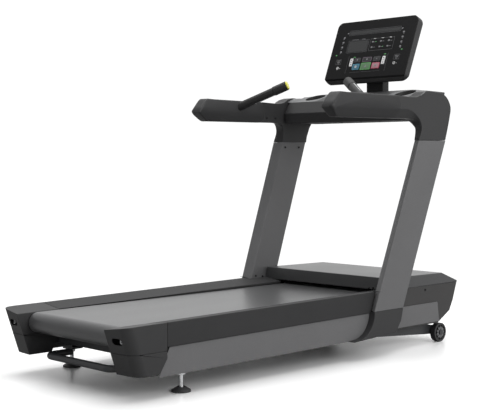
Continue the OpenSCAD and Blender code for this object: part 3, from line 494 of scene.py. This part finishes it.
def casting_ring(lower):
    """Outline of a rail casting. lower is its underside, from the sleeve to the casting's foot."""
    heights = steps(lower[0][1], CASTING_TOP, 6)[::-1]
    seam = [(seam_x(z) + SLEEVE_GAP, z) for z in heights]
    back = smooth_line(lower, 22)[1:]
    foot = [(x, CASTING_FOOT) for x in steps(lower[-1][0], CASTING_FRONT, 3)[1:3]]
    front = [(800.5 + 34.6 * k / 5, CASTING_FOOT + 132.8 * k / 5) for k in range(5)]
    elbow = [math.radians(a) for a in range(-9, 87, 5)]
    front += [(ELBOW_X + ELBOW_R * math.cos(a), ELBOW_Z + ELBOW_R * math.sin(a)) for a in elbow]
    front += smooth_line([
        (767, 1175.8), (735, 1178.8), (705, 1181), (681, 1181.5), (660, 1178.5), (640, 1171.5), (622, 1161),
        (602, 1154), (580, 1151), (550, 1151), (515, 1152.5), (seam[0][0] + 10, 1154)], 26)
    return flat(seam) + flat(back) + foot + flat(front[:-1])


def casting_depth(layer, z):
    """Depth of a layer. The outer one leans in over the shoulder, the inner one steps out below."""
    if layer == CASTING_OUT:
        return layer - SHOULDER_LEAN * max(0, z - SHOULDER_Z)
    if layer == CASTING_IN:
        t = min(1, max(0, (z - LEG_TOP) / LEG_BLEND))
        return LEG_IN * (1 - t) + CASTING_IN * t
    return layer


def placed(ring, layer, s):
    return [(x * MM, s * (rail_side(x, z) + casting_depth(layer, z)) * MM, z * MM) for x, z in ring]


def handrail(s, side):
    """The casting of one handrail. s is 1 on the left and -1 on the right."""
    undersides = (
        (CASTING_OUT, RAIL_CREASE, [(500, 1095), (530, 1094), (568, 1081), (602, 1057), (619, 1033),
                                    (621, 1002), (602, CASTING_FOOT)]),
        (CASTING_MID, RAIL_LOW + 1, [(500, 1055), (552, 1055), (584, 1053), (606, 1043), (618, 1026),
                                     (622, 1000), (610, CASTING_FOOT)]),
        (CASTING_IN, RAIL_LOW, [(500, 1054), (550, 1054), (588, 1051), (611, 1038), (625, 1020),
                                (630, 1000), (624, CASTING_FOOT)]))
    rings = []
    for layer, start, line in undersides:
        rings.append(placed(casting_ring([(seam_x(start) + SLEEVE_GAP, start)] + line), layer, s))
    bm = bmesh.new()
    loft(bm, rings)
    round_edges(bm, 2.4, 3, 24, 0.5)
    stand_in("handrail_" + side, bm, ["cover_gloss"], 44, even=True)


def sleeve_ring(low, tip, top):
    """Outline of a rubber sleeve. low is its underside, and tip and top are how far those draw in."""
    seam = [(seam_x(z), z) for z in steps(low, SLEEVE_TOP - top, 8)]
    upper = [(TIP_BACK + (seam[-1][0] - TIP_BACK) * k / 8 + tip * (1 - k / 8), TIP_TOP - top - 5 * k / 8)
             for k in range(7, 0, -1)]
    nose_top = smooth_line([(100 + tip, 1161 - top), (TIP_BACK + tip, TIP_TOP - top), (72 + tip, 1147),
                            (TIP_X + tip, 1103)], 7)
    drop = (TIP_Z - low) / 44
    nose_low = smooth_line([(TIP_X + tip, TIP_Z), (36 + tip, 1095 - 3 * drop),
                            (36 + 36 * drop + tip, 1092 - 30 * drop), (44 + 40 * drop + tip, low),
                            (60 + 40 * drop + tip, low)], 8)
    base = [(TIP_FRONT + tip + (seam[0][0] - TIP_FRONT - tip) * k / 6, low) for k in range(6)]
    return seam + upper + flat(nose_top) + flat(nose_low) + base


def sleeve(s):
    """Rings of a rubber sleeve from its outer face to its inner one."""
    layers = [(-0.2, 1094, 14, 6), (-1.2, 1092, 9, 3), (-4, 1086, 4, 1), (-9, 1075, 1, 0), (-17, 1057.5, 0, 0),
              (-20, 1055, 0, 0), (-26, 1054, 0, 0), (-40, 1054, 0, 0), (-56, 1054, 0, 0), (-61, 1056, 1, 1),
              (-64, 1060, 5, 5)]
    rings = []
    for depth, low, tip, top in layers:
        rings.append([(x * MM, s * (rail_side(x, 1100) + depth) * MM, z * MM)
                      for x, z in sleeve_ring(low, tip, top)])
    return rings


bm = bmesh.new()
for s in (1, -1):
    loft(bm, sleeve(s))
stand_in("handrail_grips", bm, ["grip_black"], 62)
handrail(1, "left")
handrail(-1, "right")

# ---------------------------------------------------------------- cup holders, in mm

CUP_X, CUP_Y, CUP_R = 727, 285, 50
CUP_FLOOR, CUP_RIM_Z, CUP_TILT = 1086, 1181, 0.31
DASH_X, DASH_Z, DASH_HALF = 650, 1157, 111.5
DASH_SLOPE, DASH_SAG, DASH_R = math.radians(12.4), 9.3, 673
CROWN_Z, CROWN_R = 1214, 2700
DASH_SIDE = 397     # the handrail casting starts here
CASTING_LINE = [(560, 1151), (602, 1154), (622, 1161), (640, 1171.5), (660, 1178.5), (681, 1181.5),
                (735, 1179), (800, 1170)]
SURROUND = [(651, 214), (650.5, 300), (650.5, 396), (628, 425), (606, 452), (612, 461), (640, 462), (662, 454),
            (692, 436), (744, 394), (792, 348), (806, 302), (800, 256), (776, 222), (722, 206), (680, 205)]


def casting_top(x):
    for (x0, z0), (x1, z1) in zip(CASTING_LINE, CASTING_LINE[1:]):
        if x <= x1:
            return z0 + (z1 - z0) * (x - x0) / (x1 - x0)
    return CASTING_LINE[-1][1]


def dash_height(x, y):
    """Height of the dash, or of the handrail casting beside it."""
    if y > DASH_SIDE:
        return casting_top(x)
    inner = DASH_R - DASH_SAG
    cx = DASH_X + DASH_HALF * math.cos(DASH_SLOPE) + inner * math.sin(DASH_SLOPE)
    cz = DASH_Z + DASH_HALF * math.sin(DASH_SLOPE) - inner * math.cos(DASH_SLOPE)
    surface = cz + math.sqrt(max(0, DASH_R * DASH_R - (x - cx) ** 2))
    return min(surface, CROWN_Z - CROWN_R + math.sqrt(CROWN_R * CROWN_R - y * y))


def surround_outline(n):
    """n points round a cup holder's surround, at equal angles about the cup."""
    out = []
    for i in range(n):
        a = 2 * math.pi * i / n
        dx, dy = math.cos(a), math.sin(a)
        best = None
        for (x0, y0), (x1, y1) in zip(SURROUND, SURROUND[1:] + SURROUND[:1]):
            ex, ey = x1 - x0, y1 - y0
            det = dx * -ey + dy * ex
            if abs(det) < 1e-9:
                continue
            t = ((x0 - CUP_X) * -ey + (y0 - CUP_Y) * ex) / det
            u = (dx * (y0 - CUP_Y) - dy * (x0 - CUP_X)) / det
            if t > 0 and -1e-9 <= u <= 1 + 1e-9:
                best = t if best is None else max(best, t)
        out.append((CUP_X + dx * best, CUP_Y + dy * best))
    return out


def cup_rings(s, n=56):
    """Rings of a cup holder: up its outside, over the surround and down inside the cup."""
    def circle(r, z=None, drop=0.0):
        out = []
        for i in range(n):
            a = 2 * math.pi * i / n
            x, y = CUP_X + r * math.cos(a), CUP_Y + r * math.sin(a)
            height = z if z is not None else CUP_RIM_Z + CUP_TILT * (x - CUP_X) - drop
            out.append((x * MM, s * y * MM, height * MM))
        return out

    def surround(lift, k=1.0):
        return [((CUP_X + (x - CUP_X) * k) * MM, s * (CUP_Y + (y - CUP_Y) * k) * MM,
                 (dash_height(x, y) + lift) * MM) for x, y in outline]
    outline = surround_outline(n)
    return [circle(30, CUP_FLOOR), circle(CUP_R + 2.4, CUP_FLOOR), circle(CUP_R + 2.4, None, 6), surround(-1.5),
            surround(0.5), surround(1.1, 0.985), circle(CUP_R + 2.5), circle(CUP_R + 0.6, None, 0.5),
            circle(CUP_R, None, 2.4), circle(CUP_R, 1094), circle(CUP_R - 4, 1089.5), circle(20, 1089)]


bm = bmesh.new()
for s in (1, -1):
    loft(bm, cup_rings(s))
for f in bm.faces:
    c = f.calc_center_median()
    inside = math.hypot(c.x / MM - CUP_X, abs(c.y) / MM - CUP_Y) < CUP_R + 0.3
    f.material_index = 1 if inside else 0
stand_in("cup_holders", bm, ["cup_silver", "cup_inside"], 34)

# ---------------------------------------------------------------- softened pieces

# Edge radii in mm
EDGES = {
    "side_cover_left": 3, "side_cover_right": 3, "side_panels": 0.8, "rear_cap_upper_left": 2.2,
    "rear_cap_upper_right": 2.2, "rear_caps_lower": 2, "motor_hood": 3, "front_covers": 2,
    "front_panels": 0.8, "upright_left": 1.6, "upright_right": 1.6, "upright_boots": 1.6, "dash_top": 2.4,
    "dash_bottom": 2.4, "console_neck": 2.5, "console_back": 2.5, "console_face": 1.0, "key_mode": 0.5,
    "key_start": 0.5, "key_stop": 0.5, "key_cool": 0.5, "key_select": 0.5, "key_fan": 0.5,
    "incline_rocker": 0.6, "speed_rocker": 0.6, "console_crossbar": 1.5, "grip_end_caps": 0.5,
}
for node, width in EDGES.items():
    soften(node, width)

FOOT_NUT_X, FOOT_NUT_Z = -0.68, 0.09                    # the jam nuts lie behind and below this, metres
POST_SCREWS = ((0.376, 0.301), (0.414, 0.297))          # x and z of an upright's lower screws, metres
STUD_R, PAD_TOP = 13, 17                                # mm


def foot_nut(f):
    c = f.calc_center_median()
    return c.x < FOOT_NUT_X and c.z < FOOT_NUT_Z


def post_skin(tree, s, x, z):
    """Sideways place of an upright's inner face at a height."""
    return tree.ray_cast(Vector((x, 0, z)), Vector((0, s, 0)))[0].y


def is_low_screw(place):
    return 0.30 < place.x < 0.53 and 0.225 < place.z < 0.255 and abs(place.y) > 0.36


def raise_post_screws(ob):
    """Lifts the lower pair of screws on each upright clear of the foot rail covers."""
    low = [v for v in ob.data.vertices if is_low_screw(v.co)]
    for s, node in ((-1, "upright_right"), (1, "upright_left")):
        bm = clean_copy(node)
        bmesh.ops.triangulate(bm, faces=bm.faces)
        tree = BVHTree.FromBMesh(bm)
        bm.free()
        side = [v for v in low if v.co.y * s > 0]
        middle = sum(v.co.x for v in side) / len(side)
        for front, (x, z) in enumerate(POST_SCREWS):
            one = [v for v in side if (v.co.x > middle) == bool(front)]
            cx = sum(v.co.x for v in one) / len(one)
            cz = sum(v.co.z for v in one) / len(one)
            move = Vector((x - cx, post_skin(tree, s, x, z) - post_skin(tree, s, cx, cz), z - cz))
            for v in one:
                v.co += move


def foot_stud(node):
    """Test for the faces of a foot's bright stud."""
    low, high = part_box(node)
    cx, cy = (low[0] + high[0]) / 2, (low[1] + high[1]) / 2

    def test(f):
        c = f.calc_center_median()
        return math.hypot(c.x - cx, c.y - cy) < STUD_R * MM and c.z > PAD_TOP * MM
    return test


raise_post_screws(soften("cover_screws", 0.3, (foot_nut, "chrome")))
for node in ("foot_left", "foot_right"):
    soften(node, 0.8, (foot_stud(node), "chrome"))

# ---------------------------------------------------------------- wheels

WHEELS = ("front_wheel_left", "front_wheel_right")
SPOKES = 9
SPOKE = ((0.30, 0.10), (0.40, 0.13), (0.56, 0.12), (0.60, 0.06))    # reach and half width, in radii
HUB = 0.66                                                          # radii
SPOKE_LAYERS = ((-1.2, 1.0), (0.5, 1.0), (0.9, 0.8))                # height in mm and share of width


def wheel_circle(node):
    """Centre and radius of a wheel as seen from the side."""
    low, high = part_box(node)
    return (low[0] + high[0]) / 2, (low[2] + high[2]) / 2, (high[2] - low[2]) / 2


def wheel_face(node):
    """Test for the faces inside a wheel's tread."""
    cx, cz, r = wheel_circle(node)

    def test(f):
        c = f.calc_center_median()
        return math.hypot(c.x - cx, c.z - cz) < r * HUB
    return test


def spokes(node):
    """Raised spokes on a wheel's outer face."""
    cx, cz, r = wheel_circle(node)
    low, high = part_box(node)
    s = 1 if low[1] > 0 else -1
    face = high[1] if s > 0 else low[1]
    side = [(reach * r, half * r) for reach, half in SPOKE]
    outline = side + [(x, -w) for x, w in side[::-1]]
    bm = bmesh.new()
    for k in range(SPOKES):
        a = 2 * math.pi * k / SPOKES
        loft(bm, [[(cx + x * math.cos(a) - w * share * math.sin(a), face + s * out * MM,
                    cz + x * math.sin(a) + w * share * math.cos(a)) for x, w in outline]
                  for out, share in SPOKE_LAYERS])
    detail(node, "_spokes", bm, "wheel_hub")


for node in WHEELS:
    soften(node, 1.0, (wheel_face(node), "wheel_face"))
for node in WHEELS:
    spokes(node)

# ---------------------------------------------------------------- console details, in mm

TILT = math.radians(21.5)
FACE_X, FACE_Z = 815, 1414                  # middle of the console's face
MARK_LOW, MARK_HIGH, FRAME_HIGH = -0.2, 0.34, 0.32
DRAW_IN, SHARE_TOP = 0.12, 0.94             # a mark's chamfer: its height, and its top's share of width
FRAME_WIDTH = 1.6
SIGN_LOW, SIGN_HIGH = 1.7, 2.1
KEY_LOW, KEY_HIGH = 1.4, 1.85


def on_face(u, v, w):
    """Point at u to the runner's right, v up the console face and w out of it."""
    return ((FACE_X - w * math.cos(TILT) + v * math.sin(TILT)) * MM, -u * MM,
            (FACE_Z + w * math.sin(TILT) + v * math.cos(TILT)) * MM)


def oval(w, h, r, n=4):
    """A rounded rectangle about the origin."""
    out = []
    for cx, cy, a0 in ((w / 2 - r, h / 2 - r, 0), (-w / 2 + r, h / 2 - r, 90), (-w / 2 + r, -h / 2 + r, 180),
                       (w / 2 - r, -h / 2 + r, 270)):
        for k in range(n + 1):
            a = math.radians(a0 + 90 * k / n)
            out.append((cx + r * math.cos(a), cy + r * math.sin(a)))
    return out


def slab(bm, outline, u, v, low, high):
    """A thin raised mark with a drawn-in top edge."""
    rings = []
    for lift, k in ((low, 1.0), (high - DRAW_IN, 1.0), (high, SHARE_TOP)):
        rings.append([on_face(u + x * k, v + y * k, lift) for x, y in outline])
    loft(bm, rings)


def ring_slab(bm, outer, inner, u, v, low, high):
    """A raised frame between two outlines of the same number of points."""
    rows = []
    for pts, lift in ((outer, low), (outer, high), (inner, high), (inner, low)):
        rows.append([bm.verts.new(on_face(u + x, v + y, lift)) for x, y in pts])
    for a, b in zip(rows, rows[1:] + rows[:1]):
        join_rows(bm, a, b)
    bmesh.ops.recalc_face_normals(bm, faces=bm.faces)


def prints(name, look, marks):
    """A group of printed marks. Each is a kind, its centre, its width and its height."""
    bm = bmesh.new()
    for kind, u, v, w, h in marks:
        if kind == "frame":
            inner = oval(w - 2 * FRAME_WIDTH, h - 2 * FRAME_WIDTH, 2.2)
            ring_slab(bm, oval(w, h, 3.4), inner, u, v, MARK_LOW, FRAME_HIGH)
        elif kind == "ring":
            least = min(w, h)
            inner = oval(w * 0.62, h * 0.62, least * 0.30, 5)
            ring_slab(bm, oval(w, h, least * 0.49, 5), inner, u, v, MARK_LOW, FRAME_HIGH)
        else:
            slab(bm, oval(w, h, min(w, h) * 0.3), u, v, MARK_LOW, MARK_HIGH)
    new_piece(name, bm, [look], BODY["console_face"], 30)


small = []
for u in (13, 63, 113):
    for v in (35, 6):
        small += [("bar", u - 8, v, 11, 8), ("bar", u + 7, v - 1, 12, 2)]
for u, heights in ((-190, (71, 45, 19, -7)), (185, (74, 48, 22, -2))):
    for v in heights:
        small += [("bar", u, v, 11, 9), ("bar", u - 2 if u < 0 else u + 2, v - 8, 8, 2)]
prints("console_print_grey", "print_grey", small + [
    ("bar", -112, 55, 40, 2), ("bar", -60, 55, 24, 2), ("bar", -172, 94, 8, 6), ("bar", 172, 94, 8, 6),
    ("bar", -188, -55, 22, 3), ("bar", -188, -63, 18, 3), ("bar", -188, -70, 12, 2),
    ("bar", 179, -50, 22, 3), ("bar", 179, -58, 18, 3), ("bar", 179, -65, 12, 2)])
prints("console_print_dim", "print_dim", [
    ("frame", 0, 94, 327, 27), ("frame", -88, 18, 133, 68), ("frame", 63, 20, 150, 66),
    ("frame", -188, -62, 34, 28), ("frame", 179, -57, 34, 28), ("bar", 122, -80, 1.4, 94),
    ("bar", -126, -80, 1.4, 94), ("bar", -2, -124, 190, 1.2), ("frame", -102, -69, 23, 48),
    ("frame", 102, -69, 23, 48)])
prints("console_print_white", "print_white", [
    ("ring", -185, -95, 15, 15), ("bar", -185, -95, 5, 5), ("bar", -170, -97, 7, 2.4),
    ("ring", 172, -88, 14, 14), ("bar", 186, -90, 6, 2.4), ("bar", 13, 52, 16, 2.2), ("bar", 63, 52, 16, 2.2),
    ("bar", 113, 52, 16, 2.2)])
prints("console_print_green", "print_green", [
    ("bar", -214, -24, 9, 6), ("bar", 199, -19, 9, 6), ("bar", 103, -37, 13, 4), ("bar", -88, -42, 15, 4),
    ("bar", 24, 35, 7, 4), ("bar", 74, 6, 7, 4)])

# Key tops: a darker centre inside the coloured border, and a plain sign on it.
# Each has its centre, width and height, then the centre's look, the sign and the sign's look.
KEY_ART = {
    "key_mode": (-65, -95, 44, 31, "key_blue_deep", "ring", "print_white"),
    "key_start": (-3, -95, 62, 38, "key_green_deep", "arrow", "print_grey"),
    "key_stop": (60, -95, 48, 32, "key_red_pale", "bar", "print_grey"),
    "key_cool": (-64, -59, 40, 24, "key_centre", "down", "print_grey"),
    "key_select": (-3, -59, 58, 25, "key_centre", "bar", "print_grey"),
    "key_fan": (59, -59, 44, 24, "key_centre", "arrow", "print_grey"),
}
BORDER = 7
SIGN_SHARE = 0.34


def key_sign(bm, kind, u, v, d):
    """A plain sign of size d in the middle of a key."""
    if kind == "ring":
        ring_slab(bm, oval(d * 1.2, d * 1.2, d * 0.58, 5), oval(d * 0.6, d * 0.6, d * 0.29, 5), u, v,
                  SIGN_LOW, SIGN_HIGH)
        return
    outline = {
        "arrow": [(-d * 0.6, -d * 0.5), (d * 0.6, -d * 0.5), (0, d * 0.6)],
        "down": [(-d * 0.6, d * 0.5), (0, -d * 0.6), (d * 0.6, d * 0.5)],
        "bar": oval(d, d, d * 0.1),
    }[kind]
    slab(bm, outline, u, v, SIGN_LOW, SIGN_HIGH)


for node, (u, v, w, h, look, sign, sign_look) in KEY_ART.items():
    bm = bmesh.new()
    slab(bm, oval(w - BORDER, h - BORDER, 2.4), u, v, KEY_LOW, KEY_HIGH)
    detail(node, "_centre", bm, look)
    bm = bmesh.new()
    key_sign(bm, sign, u, v, min(w, h) * SIGN_SHARE)
    detail(node, "_sign", bm, sign_look)
for node, u in (("incline_rocker", -102), ("speed_rocker", 102)):
    bm = bmesh.new()
    slab(bm, [(-4, -3), (4, -3), (0, 4)], u, -57, 1.4, 1.95)
    slab(bm, [(-4, 3), (0, -4), (4, 3)], u, -81, 1.4, 1.95)
    slab(bm, oval(12, 1.6, 0.5), u, -69, 1.4, 1.9)
    detail(node, "_arrows", bm, "key_centre")
